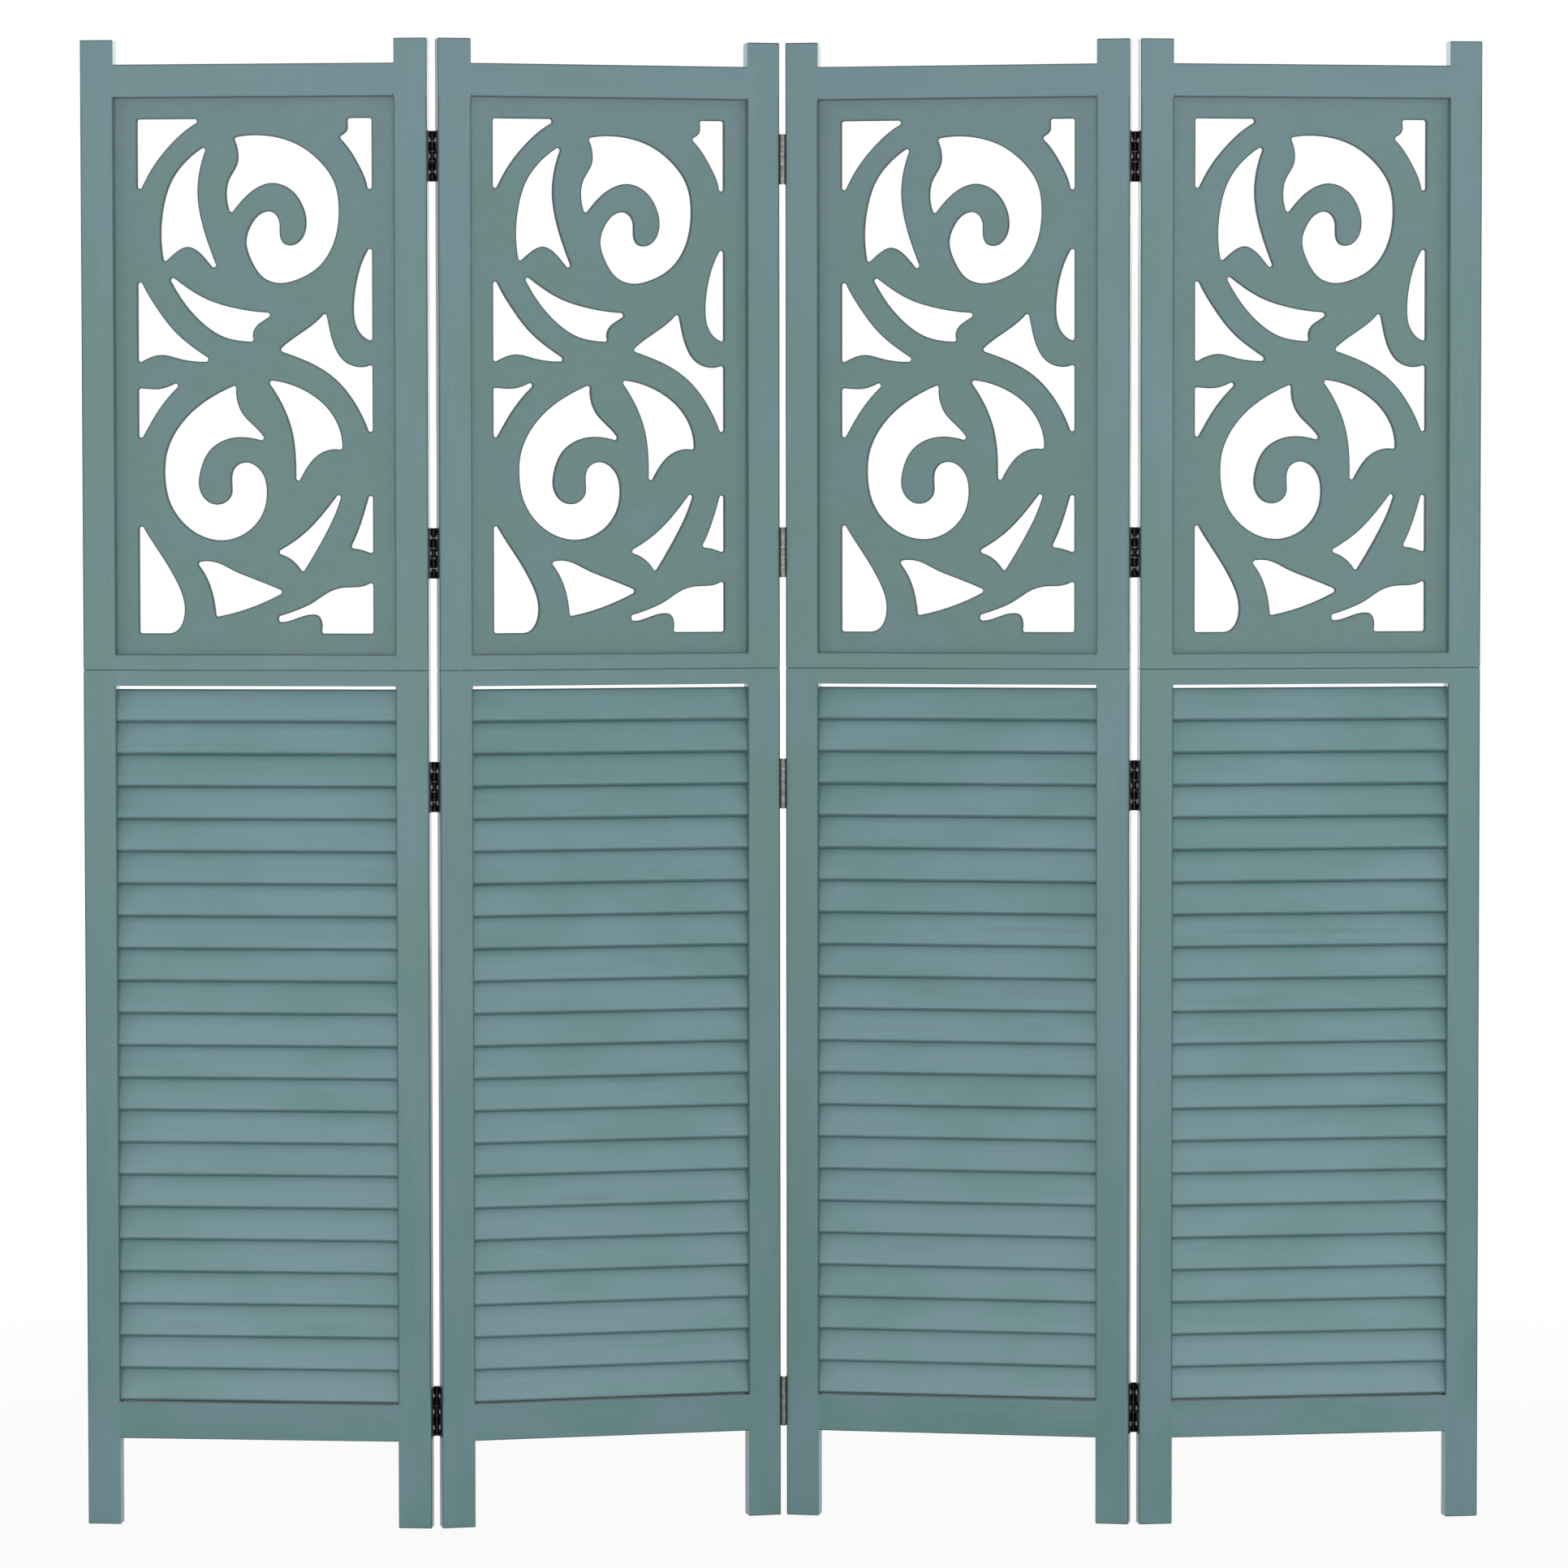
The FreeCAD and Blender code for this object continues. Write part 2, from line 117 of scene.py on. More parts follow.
# Raised screw heads, in metres
SCREW_ROOM = 0.005
HEAD_SIDES = 20
HEAD_RADIUS = 0.003
HEAD_RISE = 0.0009
HEAD_SEAT = 0.0003
HEAD_RINGS = (1.0, 0.8, 0.55, 0.28)
HEAD_SMOOTH = math.radians(35)
RECESS_ARM = 0.0014
RECESS_WIDTH = 0.0006
RECESS_DEPTH = 0.0006
DRIVE_TURN = math.radians(52)

# Studio
SENSOR_WIDTH_MM = 36.0
VIEW_REACH = 200.0
FLOOR_SIDES = 96
FLOOR_WHITE = (0.93, 0.93, 0.93)
FLOOR_ROUGHNESS = 0.9
FLOOR_GLOW = 0.92
SHADOW_REACH = (1.0, 2.6)


def tint(red, green, blue):
    """A colour given by its 0 to 255 display values, as the linear numbers that a shader takes."""
    steps = (red / 255, green / 255, blue / 255)
    return tuple(step / 12.92 if step <= 0.04045 else ((step + 0.055) / 1.055) ** 2.4 for step in steps)


def colour(name, description, default):
    """A colour that the user may change."""
    return FloatVectorProperty(
        name=name, description=description, subtype="COLOR", size=3, min=0, max=1, default=default
    )


def named_nodes(*starts):
    """The CAD objects whose names start in one of these ways."""
    return [node for name, node in sorted(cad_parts.items()) if name.startswith(starts)]


class PaintSettings(bpy.types.PropertyGroup):
    """The colours of the paint and how it lies on the wood."""

    frame_sage: colour("Frame sage", "Greener patches of the paint on the frames", tint(91, 131, 128))
    frame_haze: colour("Frame haze", "Bluer, paler patches of the paint on the frames", tint(102, 136, 142))
    board_sage: colour("Board sage", "Greener patches of the paint on the boards", tint(87, 125, 121))
    board_haze: colour("Board haze", "Bluer, paler patches of the paint on the boards", tint(96, 129, 132))
    # Partly painted light: the slats are paler than the frame paint, as their upward-tilted faces catch more
    # light from above
    slat_sage: colour("Slat sage", "Greener patches of the paint on the slats", tint(109, 147, 148))
    slat_haze: colour("Slat haze", "Bluer, paler patches of the paint on the slats", tint(119, 153, 159))
    # Dull grey of worn edges, used also as painted shade along inner edges, creases and the ledge under the
    # slats
    edge_wear_and_shade: colour("Rubbed edge", "Dull grey where the paint is thin on an edge", tint(55, 58, 64))
    # Painted shadow along the slats' long edges, in the laps between slats
    slat_lap_shadow: colour("Dark lip", "Deep green grey along the edges of the slats", tint(5, 12, 13))
    grain_line: colour("Grain line", "Dark lines of the wood's figure", tint(66, 84, 84))
    patch_size: FloatProperty(
        name="Patch size", description="Size of the cloudy patches in the paint",
        default=0.08, min=0.01, unit="LENGTH",
    )
    roughness: FloatProperty(
        name="Roughness", description="Roughness of the satin paint",
        default=0.32, min=0.05, max=1, subtype="FACTOR",
    )
    grain_depth: FloatProperty(
        name="Grain depth", description="How deep the wood grain shows",
        default=0.0003, min=0, unit="LENGTH",
    )
    grain_strength: FloatProperty(
        name="Grain strength", description="How much of the grain's depth the paint leaves",
        default=0.5, min=0, max=1, subtype="FACTOR",
    )


class HardwareSettings(bpy.types.PropertyGroup):
    """The colours of the hinges, screws, pins and dowels."""

    # Painted shade and light: the hinges share one plating, given near black in the outer gaps where they
    # sit in shade and paler grey in the middle gap where their knuckles stand forward in the light
    hinge_painted_shade: colour("Black hinge", "Blackened plating in the outer gaps", tint(30, 30, 32))
    hinge_painted_shade_worn: colour("Black worn", "Rubbed plating in the outer gaps", tint(50, 50, 52))
    hinge_painted_light: colour("Grey hinge", "Plating in the middle gap", tint(92, 91, 90))
    hinge_painted_light_worn: colour("Grey worn", "Rubbed plating in the middle gap", tint(120, 118, 116))
    steel_pale: colour("Steel pale", "Bright zinc of the screws and pins", tint(236, 236, 238))
    steel_dull: colour("Steel dull", "Dulled zinc of the screws and pins", tint(214, 215, 218))
    dowel_pale: colour("Dowel pale", "Early wood of the dowels", tint(214, 186, 145))
    dowel_deep: colour("Dowel deep", "Late wood of the dowels", tint(186, 150, 104))


class StudioSettings(bpy.types.PropertyGroup):
    """The camera, the lamps and the floor."""

    camera_place: FloatVectorProperty(
        name="Camera place", description="Where the camera stands",
        size=3, subtype="TRANSLATION", unit="LENGTH", default=(0.0051, -7.4448, 1.1957),
    )
    camera_dip: FloatProperty(
        name="Camera dip", description="How far the camera looks down",
        default=math.radians(2.656), unit="ROTATION",
    )
    camera_swing: FloatProperty(
        name="Camera swing", description="How far the camera turns to the left",
        default=math.radians(0.037), unit="ROTATION",
    )
    camera_roll: FloatProperty(
        name="Camera roll", description="How far the camera leans",
        default=math.radians(0.063), unit="ROTATION",
    )
    camera_lens: FloatProperty(
        name="Lens", description="Focal length on a 36 mm sensor", default=149.1, min=1, unit="CAMERA",
    )
    floor_radius: FloatProperty(
        name="Floor radius", description="Radius of the round studio floor",
        default=40, min=5, unit="LENGTH",
    )
    sky_level: FloatProperty(
        name="Sky level", description="Even light from all round", default=0.3, min=0, subtype="FACTOR",
    )
    front_power: FloatProperty(
        name="Front power", description="Power of the wide soft lamp in front",
        default=196, min=0, unit="POWER",
    )
    top_power: FloatProperty(
        name="Top power", description="Power of the soft lamp above the front",
        default=10, min=0, unit="POWER",
    )
    side_power: FloatProperty(
        name="Side power", description="Power of each soft lamp at the sides",
        default=70, min=0, unit="POWER",
    )
    back_power: FloatProperty(
        name="Back power", description="Power of the wide soft lamp behind",
        default=88, min=0, unit="POWER",
    )


def opaque(shade):
    """A colour with its alpha, as a colour socket takes it."""
    return (*shade, 1.0)


class Finish:
    """A material, with short calls that add its nodes."""

    def __init__(self, name):
        self.material = bpy.data.materials.new(name)
        self.material.use_nodes = True
        self.tree = self.material.node_tree
        self.surface = self.tree.nodes["Principled BSDF"]
        self.spot = self.add("ShaderNodeTexCoord")

    def add(self, kind, inputs=None, **settings):
        """Add a node, set it up and fill its sockets, each with a link or a value."""
        node = self.tree.nodes.new(kind)
        for key, value in settings.items():
            setattr(node, key, value)
        for key, value in (inputs or {}).items():
            self.feed(node.inputs[key], value)
        return node

    def feed(self, socket, value):
        """Fill one socket with a link or a value."""
        if isinstance(value, bpy.types.NodeSocket):
            self.tree.links.new(value, socket)
        else:
            socket.default_value = value

    def stretched(self, across, depth, up):
        """Object coordinates, with this many steps of a pattern to a metre along each way."""
        inputs = {"Vector": self.spot.outputs["Object"], "Scale": (across, depth, up)}
        return self.add("ShaderNodeMapping", inputs).outputs[0]

    def noise(self, vector, scale, detail, roughness=0.5):
        """A cloudy pattern from 0 to 1."""
        inputs = {"Vector": vector, "Scale": scale, "Detail": detail, "Roughness": roughness}
        return self.add("ShaderNodeTexNoise", inputs).outputs[0]

    def span(self, value, low, high, to_low=0.0, to_high=1.0):
        """Ease a value from one range to another."""
        inputs = {"Value": value, "From Min": low, "From Max": high, "To Min": to_low, "To Max": to_high}
        return self.add("ShaderNodeMapRange", inputs, interpolation_type="SMOOTHSTEP").outputs[0]

    def work_out(self, operation, first, second=0.0):
        """The result of one step of arithmetic."""
        return self.add("ShaderNodeMath", {0: first, 1: second}, operation=operation).outputs[0]

    def mix(self, amount, first, second, blend="MIX"):
        """A colour between two others."""
        inputs = {0: amount, 6: first, 7: second}
        return self.add("ShaderNodeMix", inputs, data_type="RGBA", blend_type=blend).outputs[2]

    def grey(self, level):
        """A grey of this level."""
        return self.add("ShaderNodeCombineColor", {0: level, 1: level, 2: level}).outputs[0]

    def parts(self, vector):
        """The x, y and z of a place or a direction."""
        return self.add("ShaderNodeSeparateXYZ", {0: vector}).outputs

    def bump(self, height, depth, strength):
        """The surface's direction over fine relief."""
        inputs = {"Height": height, "Distance": depth, "Strength": strength}
        return self.add("ShaderNodeBump", inputs).outputs[0]

    def dress(self, base, roughness, normal):
        """Give the surface its colour, roughness and relief."""
        self.feed(self.surface.inputs["Base Color"], base)
        self.feed(self.surface.inputs["Roughness"], roughness)
        self.feed(self.surface.inputs["Normal"], normal)


def steepest(finish):
    """The largest part of the surface's direction: near 1 on flat faces and less on rounded edges."""
    x, y, z = [finish.work_out("ABSOLUTE", part) for part in finish.parts(finish.spot.outputs["Normal"])]
    return finish.work_out("MAXIMUM", finish.work_out("MAXIMUM", x, y), z)


def facing_front(finish):
    """How squarely the surface faces the front or the back of the screen."""
    return finish.work_out("ABSOLUTE", finish.parts(finish.spot.outputs["Normal"])[1])


def painted_wood(name, paint, sage, haze, patch_run, grain_run, wear_and_shade, edge, figured=False, own_tone=None):
    """Satin paint in cloudy patches over wood grain. It has painted sheen towards the top and painted light
    at the foot, is thin and dull along worn edges, and has painted shade along creases, inner edges and slat
    laps.
    """
    finish = Finish(name)
    place = finish.spot.outputs["Object"]
    steps = [run / paint.patch_size for run in patch_run]
    patches = finish.noise(finish.stretched(*steps), scale=1.0, detail=2, roughness=0.45)
    height = finish.parts(place)[2]
    top = CAD_BOX[1].z
    # Painted sheen: the paint turns paler and bluer towards the top of the screen
    light_and_tone_drift = finish.span(height, SHEEN_START * top, top, *TOP_SHEEN_DRIFT)
    # Painted light: the paint turns paler towards the foot of the screen
    light_and_tone_drift = finish.work_out("ADD", light_and_tone_drift, finish.span(height, 0.0, top / 2, *FOOT_LIGHT_DRIFT))
    if own_tone:
        light_and_tone_drift = finish.work_out("ADD", light_and_tone_drift, own_tone(finish))
    cloud = finish.span(finish.work_out("ADD", patches, light_and_tone_drift), *PATCH_TURN)
    coat = finish.mix(cloud, opaque(sage), opaque(haze))
    along = finish.stretched(*grain_run)
    grain = finish.noise(along, scale=1.0, detail=3, roughness=0.6)
    specks = finish.noise(place, scale=SPECK_SCALE, detail=2)
    streaks = finish.span(grain, *GRAIN_SPAN, *TONE_RANGE)
    tone = finish.work_out("MULTIPLY", streaks, finish.span(specks, *SPECK_SPAN, *TONE_RANGE))
    coat = finish.mix(1.0, coat, finish.grey(tone), "MULTIPLY")
    if figured:
        coat = finish.mix(figure(finish, along, place), coat, opaque(paint.grain_line))
    # Edge mask: wear on rounded corners and rims, and painted shade along inner edges, creases, the ledge
    # under the slats and the slat laps
    wear_and_shade_mask = wear_and_shade(finish)
    coat = finish.mix(wear_and_shade_mask, coat, opaque(edge))
    specular = finish.span(wear_and_shade_mask, 0.0, 1.0, COAT_SPECULAR, WORN_SPECULAR)
    finish.feed(finish.surface.inputs["Specular IOR Level"], specular)
    smoothest = paint.roughness - ROUGHNESS_SPREAD
    roughest = paint.roughness + ROUGHNESS_SPREAD
    roughness = finish.span(patches, *ROUGHNESS_SPAN, smoothest, roughest)
    relief = finish.work_out("ADD", grain, finish.work_out("MULTIPLY", specks, SPECK_RELIEF))
    finish.dress(coat, roughness, finish.bump(relief, paint.grain_depth, paint.grain_strength))
    return finish.material


def figure(finish, along, place):
    """Now and then a dark wavy line of the wood shows through the paint."""
    inputs = {"Vector": along, "Scale": 0.05, "Distortion": 9.0, "Detail": 3.0, "Detail Scale": 0.6}
    rings = finish.add("ShaderNodeTexWave", inputs, bands_direction="DIAGONAL").outputs[1]
    line = finish.span(rings, *LINE_SPAN)
    patch = finish.span(finish.noise(place, FIGURE_SCALE, detail=2), *FIGURE_SPAN, 0.0, FIGURE_SHARE)
    return finish.work_out("MULTIPLY", line, patch)


def slat_tone(finish):
    """Each slat is a little greener or hazier than the next."""
    low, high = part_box("louver_slats_1")
    pitch = (high.z - low.z) / SLATS_PER_PANEL
    place = finish.parts(finish.spot.outputs["Object"])
    rise = finish.work_out("SUBTRACT", place[2], low.z)
    row = finish.work_out("FLOOR", finish.work_out("DIVIDE", rise, pitch))
    panel = finish.work_out("FLOOR", finish.work_out("DIVIDE", place[0], PANEL_STEP))
    slat = finish.add("ShaderNodeCombineXYZ", {0: panel, 1: row}).outputs[0]
    chance = finish.add("ShaderNodeTexWhiteNoise", {"Vector": slat}).outputs["Value"]
    return finish.work_out("MULTIPLY", finish.work_out("ADD", chance, SLAT_DRIFT_START), SLAT_DRIFT)


def between(finish, low, high):
    """1 between two heights and 0 outside them."""
    height = finish.parts(finish.spot.outputs["Object"])[2]
    above = finish.span(height, low, low + FADE)
    below = finish.span(height, high, high - FADE)
    return finish.work_out("MULTIPLY", above, below)


def around(finish, height, reach):
    """1 within reach of a height and 0 farther off."""
    return between(finish, height - reach, height + reach)


def near_edge(finish, reach, full=RIM_FULL):
    """How close the surface is to an edge of its own piece."""
    eased = finish.add("ShaderNodeBevel", {"Radius": reach}, samples=EDGE_SAMPLES).outputs[0]
    square = finish.add("ShaderNodeNewGeometry").outputs["True Normal"]
    alike = finish.add("ShaderNodeVectorMath", {0: eased, 1: square}, operation="DOT_PRODUCT")
    return finish.span(alike.outputs["Value"], EDGE_START, full)


def rubbed_corner(finish):
    """Rounded corners, wherever the piece is turned, less at the seam between the sections."""
    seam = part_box("lower_top_rail_1")[1].z
    relief = finish.work_out("MULTIPLY", SEAM_RELIEF, around(finish, seam, SEAM_REACH))
    share = finish.work_out("SUBTRACT", 1.0, relief)
    return finish.work_out("MULTIPLY", share, finish.span(steepest(finish), *CORNER_SPAN, 0.0, CORNER_WEAR))


def worn_and_shaded_stile(finish):
    """Worn rounded corners, and painted shade along the inner edges where a board or slats meet the stile.
    """
    board_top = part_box("carved_panel_1")[1].z - GROOVE_DEPTH
    board = between(finish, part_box("upper_bottom_rail_1")[1].z, board_top)
    louver = between(finish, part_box("bottom_rail_1")[1].z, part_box("lower_top_rail_1")[0].z)
    either = finish.work_out("MAXIMUM", board, louver)
    # Painted shade in the crease along the stile's inner edges
    inner = finish.work_out("MULTIPLY", either, near_edge(finish, RIM_REACH))
    return finish.work_out("MAXIMUM", rubbed_corner(finish), finish.work_out("MULTIPLY", inner, STILE_CREASE_SHADE))


def worn_and_shaded_rail(finish):
    """Worn rounded corners, painted shadow along the edges over and under a board, and painted shade on the
    ledge in the gap under the slats.
    """
    # Painted shadow under the top rail, and painted shade along the rail's edge at the foot of the board
    over = around(finish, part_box("top_rail_1")[0].z, RIM_REACH)
    foot = around(finish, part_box("upper_bottom_rail_1")[1].z, RIM_REACH)
    under = finish.work_out("MULTIPLY", foot, BOARD_FOOT_SHADE)
    either = finish.work_out("MAXIMUM", over, under)
    inner = finish.work_out("MULTIPLY", either, near_edge(finish, RIM_REACH))
    upward = finish.span(finish.parts(finish.spot.outputs["Normal"])[2], *LEDGE_SPAN)
    # Painted shade on the top of the bottom rail, in the gap under the lowest slat
    ledge = finish.work_out("MULTIPLY", upward, around(finish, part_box("bottom_rail_1")[1].z, RIM_REACH))
    edges = finish.work_out("MAXIMUM", rubbed_corner(finish), finish.work_out("MULTIPLY", inner, RAIL_EDGE_SHADE))
    return finish.work_out("MAXIMUM", edges, ledge)


def rubbed_rim(finish):
    """The rims and walls of cut-outs."""
    wall = finish.span(facing_front(finish), *WALL_SPAN)
    either = finish.work_out("MAXIMUM", wall, near_edge(finish, RIM_REACH))
    return finish.work_out("MULTIPLY", either, RIM_WEAR)


def shaded_lip(finish):
    """The long edges of a slat, darkened as painted shadow in the lap under the slat above."""
    return near_edge(finish, LIP_REACH, LIP_FULL)


def metal(name, pale, dull, roughness, bare=1.0):
    """Metal with a cloudy tarnish and fine scratches, more or less bare under its plating."""
    finish = Finish(name)
    tarnish = finish.noise(finish.spot.outputs["Object"], scale=260.0, detail=4, roughness=0.6)
    scratches = finish.noise(finish.stretched(across=900.0, depth=900.0, up=120.0), scale=1.0, detail=2)
    shade = finish.mix(finish.span(tarnish, *TARNISH_SPAN), opaque(dull), opaque(pale))
    polish = finish.span(scratches, *SCRATCH_SPAN, roughness - POLISH_SPREAD, roughness + POLISH_SPREAD)
    finish.dress(shade, polish, finish.bump(scratches, depth=0.00005, strength=0.4))
    finish.surface.inputs["Metallic"].default_value = bare
    return finish.material


def bare_wood(name, pale, deep):
    """Unpainted wood with its grain running up."""
    finish = Finish(name)
    grain = finish.noise(finish.stretched(across=700.0, depth=700.0, up=30.0), scale=1.0, detail=4)
    shade = finish.mix(finish.span(grain, *DOWEL_GRAIN_SPAN), opaque(pale), opaque(deep))
    finish.dress(shade, DOWEL_ROUGHNESS, finish.bump(grain, depth=0.0002, strength=0.5))
    return finish.material


def give(nodes, material):
    """Put one material on every one of these nodes."""
    if not nodes:
        raise RuntimeError(f"no pieces to take {material.name}")
    for node in nodes:
        node.data.materials.clear()
        node.data.materials.append(material)


class SCREEN_OT_set_camera(bpy.types.Operator):
    """Set up the camera at the front of the screen"""

    bl_idname = "folding_screen.set_camera"
    bl_label = "Set Camera"

    def execute(self, context):
        studio = context.scene.screen_studio
        data = bpy.data.cameras.new("front_camera")
        data.sensor_fit = "HORIZONTAL"
        data.sensor_width = SENSOR_WIDTH_MM
        data.lens = studio.camera_lens
        data.clip_end = VIEW_REACH
        camera = bpy.data.objects.new("front_camera", data)
        camera.location = studio.camera_place
        level = math.radians(90)
        camera.rotation_euler = (level - studio.camera_dip, studio.camera_roll, studio.camera_swing)
        context.scene.collection.objects.link(camera)
        context.scene.camera = camera
        return {"FINISHED"}


class SCREEN_OT_paint_frames(bpy.types.Operator):
    """Paint the stiles with the grain upright and the rails with it level"""

    bl_idname = "folding_screen.paint_frames"
    bl_label = "Paint Frames"

    def execute(self, context):
        paint = context.scene.screen_paint
        stiles = painted_wood(
            "stile_paint", paint, paint.frame_sage, paint.frame_haze,
            patch_run=(1.2, 1.2, 0.5), grain_run=(240, 240, 7), wear_and_shade=worn_and_shaded_stile, edge=paint.edge_wear_and_shade,
        )
        rails = painted_wood(
            "rail_paint", paint, paint.frame_sage, paint.frame_haze,
            patch_run=(0.5, 0.5, 1.2), grain_run=(7, 7, 240), wear_and_shade=worn_and_shaded_rail, edge=paint.edge_wear_and_shade,
        )
        give(named_nodes("upper_left", "upper_right", "lower_left", "lower_right"), stiles)
        give(named_nodes("top_rail", "upper_bottom", "lower_top", "bottom_rail"), rails)
        return {"FINISHED"}


class SCREEN_OT_paint_boards(bpy.types.Operator):
    """Paint the pierced boards, duller round the cut-outs"""

    bl_idname = "folding_screen.paint_boards"
    bl_label = "Paint Boards"

    def execute(self, context):
        paint = context.scene.screen_paint
        boards = painted_wood(
            "board_paint_finish", paint, paint.board_sage, paint.board_haze,
            patch_run=(1, 1, 1), grain_run=(60, 60, 90), wear_and_shade=rubbed_rim, edge=paint.edge_wear_and_shade,
        )
        give(named_nodes("carved_panel"), boards)
        return {"FINISHED"}


class SCREEN_OT_paint_slats(bpy.types.Operator):
    """Paint the louver slats with the grain level"""

    bl_idname = "folding_screen.paint_slats"
    bl_label = "Paint Slats"

    def execute(self, context):
        paint = context.scene.screen_paint
        slats = painted_wood(
            "slat_paint_finish", paint, paint.slat_sage, paint.slat_haze,
            patch_run=(0.5, 0.5, 1.5), grain_run=(5, 5, 200), wear_and_shade=shaded_lip, edge=paint.slat_lap_shadow,
            figured=True, own_tone=slat_tone,
        )
        give(named_nodes("louver_slats"), slats)
        return {"FINISHED"}


class SCREEN_OT_finish_hinges(bpy.types.Operator):
    """Give the hinge leaves, pins and screws their metals"""

    bl_idname = "folding_screen.finish_hinges"
    bl_label = "Finish Hinges"

    def execute(self, context):
        hardware = context.scene.screen_hardware
        black = metal("hinge_painted_shade", hardware.hinge_painted_shade_worn, hardware.hinge_painted_shade, roughness=0.34)
        grey = metal("hinge_painted_light", hardware.hinge_painted_light_worn, hardware.hinge_painted_light, roughness=0.34)
        pin = metal("bright_pin", hardware.steel_pale, hardware.steel_dull, roughness=0.3)
        screw = metal("bright_screw", hardware.steel_pale, hardware.steel_dull, roughness=0.26, bare=0.15)
        # Painted shade on the hinges of the outer gaps, painted light on the hinges of the middle gap
        for gap, plating in ((1, black), (2, grey), (3, black)):
            give(named_nodes(f"hinge_leaves_left_{gap}", f"hinge_leaves_right_{gap}"), plating)
        give(named_nodes("hinge_pins"), pin)
        give(named_nodes("hinge_screws"), screw)
        return {"FINISHED"}


def across(number):
    """The level way across a panel, from its left stile to its right one."""
    left, right = [sum(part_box(f"lower_{side}_stile_{number}"), Vector()) / 2 for side in ("left", "right")]
    return (right - left).normalized()


def head_middle(screw, facing):
    """The middle of one screw's head, from the screw's points."""
    aside = Vector((-facing.y, facing.x, 0))
    sides = [point.dot(aside) for point in screw]
    heights = [point.z for point in screw]
    reach = max(point.dot(facing) for point in screw)
    level = Vector((0, 0, (min(heights) + max(heights)) / 2))
    return facing * reach + aside * (min(sides) + max(sides)) / 2 + level


def head_places(node, facing):
    """The middle of each screw's head in a node, where all heads face one way."""
    points = sorted((vertex.co for vertex in node.data.vertices), key=lambda point: point.z)
    screws = [[points[0]]]
    for below, point in zip(points, points[1:]):
        if point.z - below.z > SCREW_ROOM:
            screws.append([])
        screws[-1].append(point)
    return [head_middle(screw, facing) for screw in screws]


def raised_head(context):
    """One domed screw head with a cross recess, facing up from the origin."""
    bpy.ops.object.select_all(action="DESELECT")
    bpy.ops.mesh.primitive_circle_add(
        vertices=HEAD_SIDES, radius=HEAD_RADIUS, fill_type="NGON", location=(0, 0, -HEAD_SEAT)
    )
    head = context.object
    bpy.ops.object.transform_apply(location=True)
    bpy.ops.object.mode_set(mode="EDIT")
    bpy.ops.mesh.select_all(action="SELECT")
    ball = (HEAD_RADIUS ** 2 + HEAD_RISE ** 2) / (2 * HEAD_RISE)
    share = 1.0
    height = -HEAD_SEAT
    for next_share in HEAD_RINGS:
        next_height = math.sqrt(ball ** 2 - (next_share * HEAD_RADIUS) ** 2) - ball + HEAD_RISE
        bpy.ops.mesh.extrude_region_move(TRANSFORM_OT_translate={"value": (0, 0, next_height - height)})
        shrink = next_share / share
        bpy.ops.transform.resize(value=(shrink, shrink, 1))
        share = next_share
        height = next_height
    bpy.ops.mesh.select_all(action="SELECT")
    bpy.ops.mesh.normals_make_consistent(inside=False)
    bpy.ops.object.mode_set(mode="OBJECT")
    for turn in (0, math.radians(90)):
        cut_bar(context, head, turn)
    bpy.ops.object.shade_smooth_by_angle(angle=HEAD_SMOOTH)
    return head


def cut_bar(context, head, turn):
    """Cut one bar of the cross recess."""
    size = (2 * RECESS_ARM, RECESS_WIDTH, 2 * RECESS_DEPTH)
    bpy.ops.mesh.primitive_cube_add(size=1, scale=size, location=(0, 0, HEAD_RISE), rotation=(0, 0, turn))
    bar = context.object
    bpy.ops.object.select_all(action="DESELECT")
    head.select_set(True)
    context.view_layer.objects.active = head
    recess = head.modifiers.new("recess", "BOOLEAN")
    recess.object = bar
    bpy.ops.object.modifier_apply(modifier=recess.name)
    bpy.data.objects.remove(bar)


def seat_heads(context, head, name, places, facing):
    """Set a copy of the head at each place and join the copies into one piece."""
    upright = facing.to_track_quat("Z", "Y").to_matrix().to_4x4()
    copies = []
    for index, place in enumerate(places):
        copy = head.copy()
        copy.data = head.data.copy()
        driven = Matrix.Rotation(index * DRIVE_TURN, 4, "Z")
        copy.data.transform(Matrix.Translation(place) @ upright @ driven)
        context.collection.objects.link(copy)
        copies.append(copy)
    bpy.ops.object.select_all(action="DESELECT")
    for copy in copies:
        copy.select_set(True)
    context.view_layer.objects.active = copies[0]
    bpy.ops.object.join()
    copies[0].name = name
    return copies[0]


class SCREEN_OT_make_screw_heads(bpy.types.Operator):
    """Dome the heads of the hinge screws"""

    bl_idname = "folding_screen.make_screw_heads"
    bl_label = "Make Screw Heads"

    def execute(self, context):
        head = raised_head(context)
        for gap in range(1, PANELS):
            for side, number, way in (("left", gap, 1), ("right", gap + 1, -1)):
                facing = across(number) * way
                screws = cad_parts[f"hinge_screws_{side}_{gap}"]
                places = head_places(screws, facing)
                heads = seat_heads(context, head, f"screw_heads_{side}_{gap}", places, facing)
                give([heads], screws.data.materials[0])
                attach(heads, f"panel_{number}")
        bpy.data.objects.remove(head)
        return {"FINISHED"}


class SCREEN_OT_finish_dowels(bpy.types.Operator):
    """Leave the joining dowels in bare wood"""

    bl_idname = "folding_screen.finish_dowels"
    bl_label = "Finish Dowels"

    def execute(self, context):
        hardware = context.scene.screen_hardware
        bare = bare_wood("bare_dowel", hardware.dowel_pale, hardware.dowel_deep)
        give(named_nodes("joining_dowels"), bare)
        return {"FINISHED"}


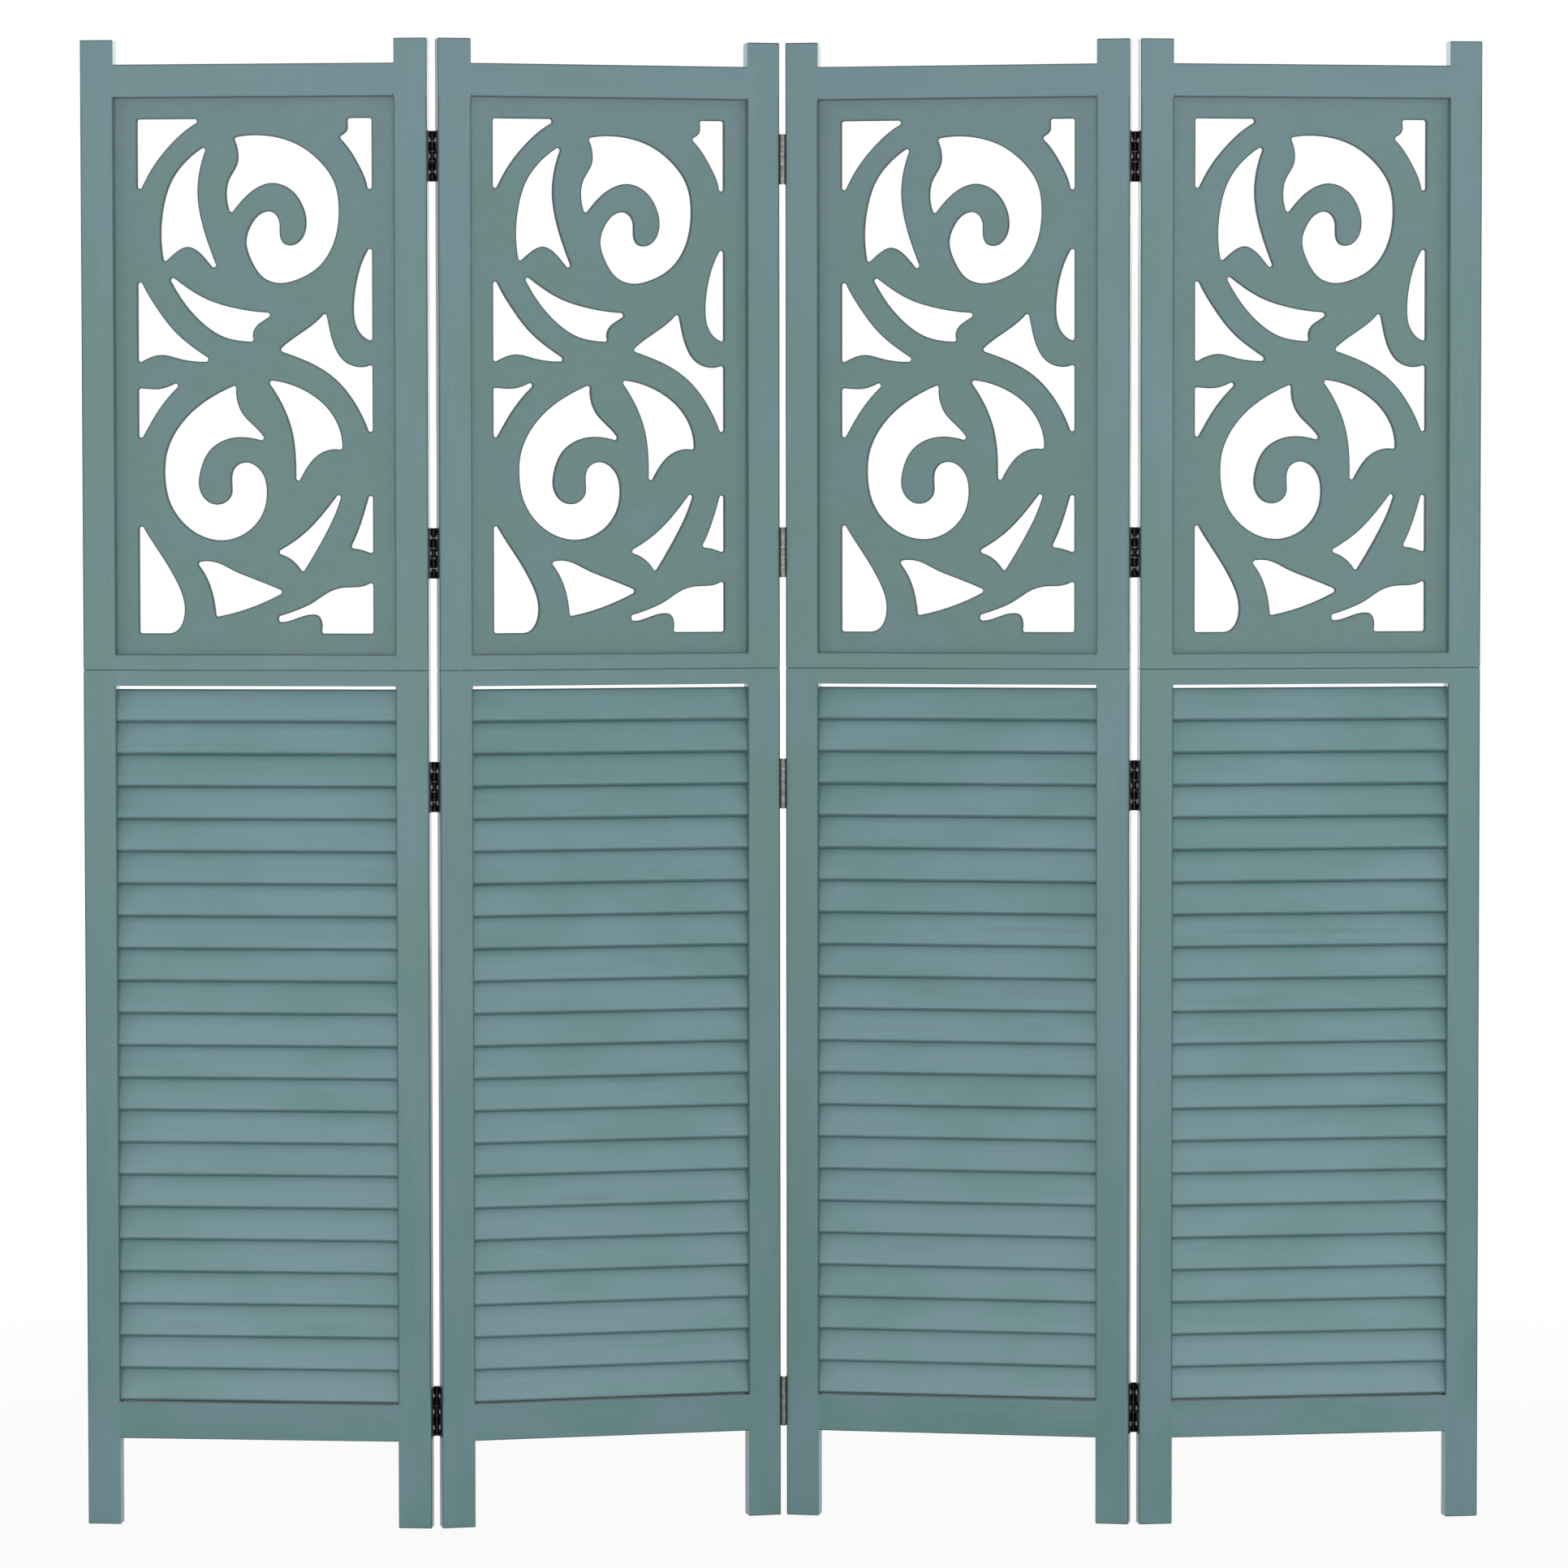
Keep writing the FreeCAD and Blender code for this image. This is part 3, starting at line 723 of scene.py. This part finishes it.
def seen_directly(tree):
    """A factor that is 1 for what the camera, a mirror or clear glass looks at."""
    path = tree.nodes.new("ShaderNodeLightPath")
    seen = path.outputs["Is Camera Ray"]
    for other in ("Is Glossy Ray", "Is Transmission Ray"):
        either = tree.nodes.new("ShaderNodeMath")
        either.operation = "MAXIMUM"
        tree.links.new(seen, either.inputs[0])
        tree.links.new(path.outputs[other], either.inputs[1])
        seen = either.outputs[0]
    return seen


def white_floor():
    """A white floor that keeps a faint shadow and joins the white background."""
    finish = Finish("studio_floor")
    finish.surface.inputs["Base Color"].default_value = opaque(FLOOR_WHITE)
    finish.surface.inputs["Roughness"].default_value = FLOOR_ROUGHNESS
    finish.surface.inputs["Specular IOR Level"].default_value = 0.0
    glow = finish.add("ShaderNodeEmission").outputs[0]
    place = finish.spot.outputs["Object"]
    distance = finish.add("ShaderNodeVectorMath", {0: place}, operation="LENGTH").outputs["Value"]
    fade = finish.span(distance, *SHADOW_REACH, FLOOR_GLOW, 1.0)
    share = finish.work_out("MULTIPLY", seen_directly(finish.tree), fade)
    join = finish.add("ShaderNodeMixShader", {0: share, 1: finish.surface.outputs[0], 2: glow}).outputs[0]
    finish.feed(finish.tree.nodes["Material Output"].inputs["Surface"], join)
    return finish.material


def white_sky(level):
    """Even light all round, plain white where it is seen."""
    world = bpy.data.worlds.new("studio_sky")
    world.use_nodes = True
    tree = world.node_tree
    background = tree.nodes["Background"]
    background.inputs["Color"].default_value = (1.0, 1.0, 1.0, 1.0)
    strength = tree.nodes.new("ShaderNodeMapRange")
    strength.inputs["To Min"].default_value = level
    strength.inputs["To Max"].default_value = 1.0
    tree.links.new(seen_directly(tree), strength.inputs["Value"])
    tree.links.new(strength.outputs[0], background.inputs["Strength"])
    return world


def soft_lamp(scene, name, power, place, size):
    """A rectangular soft lamp that shines on the middle of the screen and isn't seen itself."""
    data = bpy.data.lights.new(name, "AREA")
    data.shape = "RECTANGLE"
    data.size, data.size_y = size
    data.energy = power
    lamp = bpy.data.objects.new(name, data)
    lamp.location = place
    middle = (0, 0, CAD_BOX[1].z / 2)
    way = [end - start for start, end in zip(place, middle)]
    lamp.rotation_euler = (math.atan2(math.hypot(way[0], way[1]), -way[2]), 0, math.atan2(-way[0], way[1]))
    lamp.visible_camera = False
    scene.collection.objects.link(lamp)


class SCREEN_OT_build_stage(bpy.types.Operator):
    """Lay the floor, light the studio and set plain colours"""

    bl_idname = "folding_screen.build_stage"
    bl_label = "Build Stage"

    def execute(self, context):
        scene = context.scene
        studio = scene.screen_studio
        bpy.ops.object.select_all(action="DESELECT")
        bpy.ops.mesh.primitive_circle_add(vertices=FLOOR_SIDES, radius=studio.floor_radius, fill_type="NGON")
        floor = context.object
        floor.name = "studio_floor"
        floor.data.materials.append(white_floor())
        scene.world = white_sky(studio.sky_level)
        soft_lamp(scene, "front_lamp", studio.front_power, place=(0.3, -6.5, 0.8), size=(9.0, 3.6))
        soft_lamp(scene, "top_lamp", studio.top_power, place=(0.1, -2.8, 4.4), size=(3.0, 1.6))
        soft_lamp(scene, "back_lamp", studio.back_power, place=(0.2, 4.5, 1.8), size=(5.0, 3.0))
        soft_lamp(scene, "left_lamp", studio.side_power, place=(-5.0, -1.2, 1.6), size=(2.5, 3.0))
        soft_lamp(scene, "right_lamp", studio.side_power, place=(5.0, -1.2, 1.6), size=(2.5, 3.0))
        scene.view_settings.view_transform = "Standard"
        return {"FINISHED"}


SETTINGS = {
    "screen_paint": PaintSettings,
    "screen_hardware": HardwareSettings,
    "screen_studio": StudioSettings,
}
STEPS = (
    SCREEN_OT_set_camera,
    SCREEN_OT_paint_frames,
    SCREEN_OT_paint_boards,
    SCREEN_OT_paint_slats,
    SCREEN_OT_finish_hinges,
    SCREEN_OT_make_screw_heads,
    SCREEN_OT_finish_dowels,
    SCREEN_OT_build_stage,
)


class SCREEN_PT_finishes(bpy.types.Panel):
    """Settings and steps of the folding screen"""

    bl_idname = "SCREEN_PT_finishes"
    bl_label = "Folding Screen"
    bl_space_type = "VIEW_3D"
    bl_region_type = "UI"
    bl_category = "Folding Screen"

    def draw(self, context):
        for name, kind in SETTINGS.items():
            column = self.layout.box().column()
            for key in kind.__annotations__:
                column.prop(getattr(context.scene, name), key)
        for step in STEPS:
            self.layout.operator(step.bl_idname)


CLASSES = (*SETTINGS.values(), *STEPS, SCREEN_PT_finishes)


def register():
    for kind in CLASSES:
        bpy.utils.register_class(kind)
    for name, kind in SETTINGS.items():
        setattr(bpy.types.Scene, name, PointerProperty(type=kind))


def unregister():
    for name in SETTINGS:
        delattr(bpy.types.Scene, name)
    for kind in reversed(CLASSES):
        bpy.utils.unregister_class(kind)


def main():
    register()
    bpy.ops.folding_screen.set_camera()
    bpy.ops.folding_screen.paint_frames()
    bpy.ops.folding_screen.paint_boards()
    bpy.ops.folding_screen.paint_slats()
    bpy.ops.folding_screen.finish_hinges()
    bpy.ops.folding_screen.make_screw_heads()
    bpy.ops.folding_screen.finish_dowels()
    bpy.ops.folding_screen.build_stage()


if __name__ == "__main__":
    main()
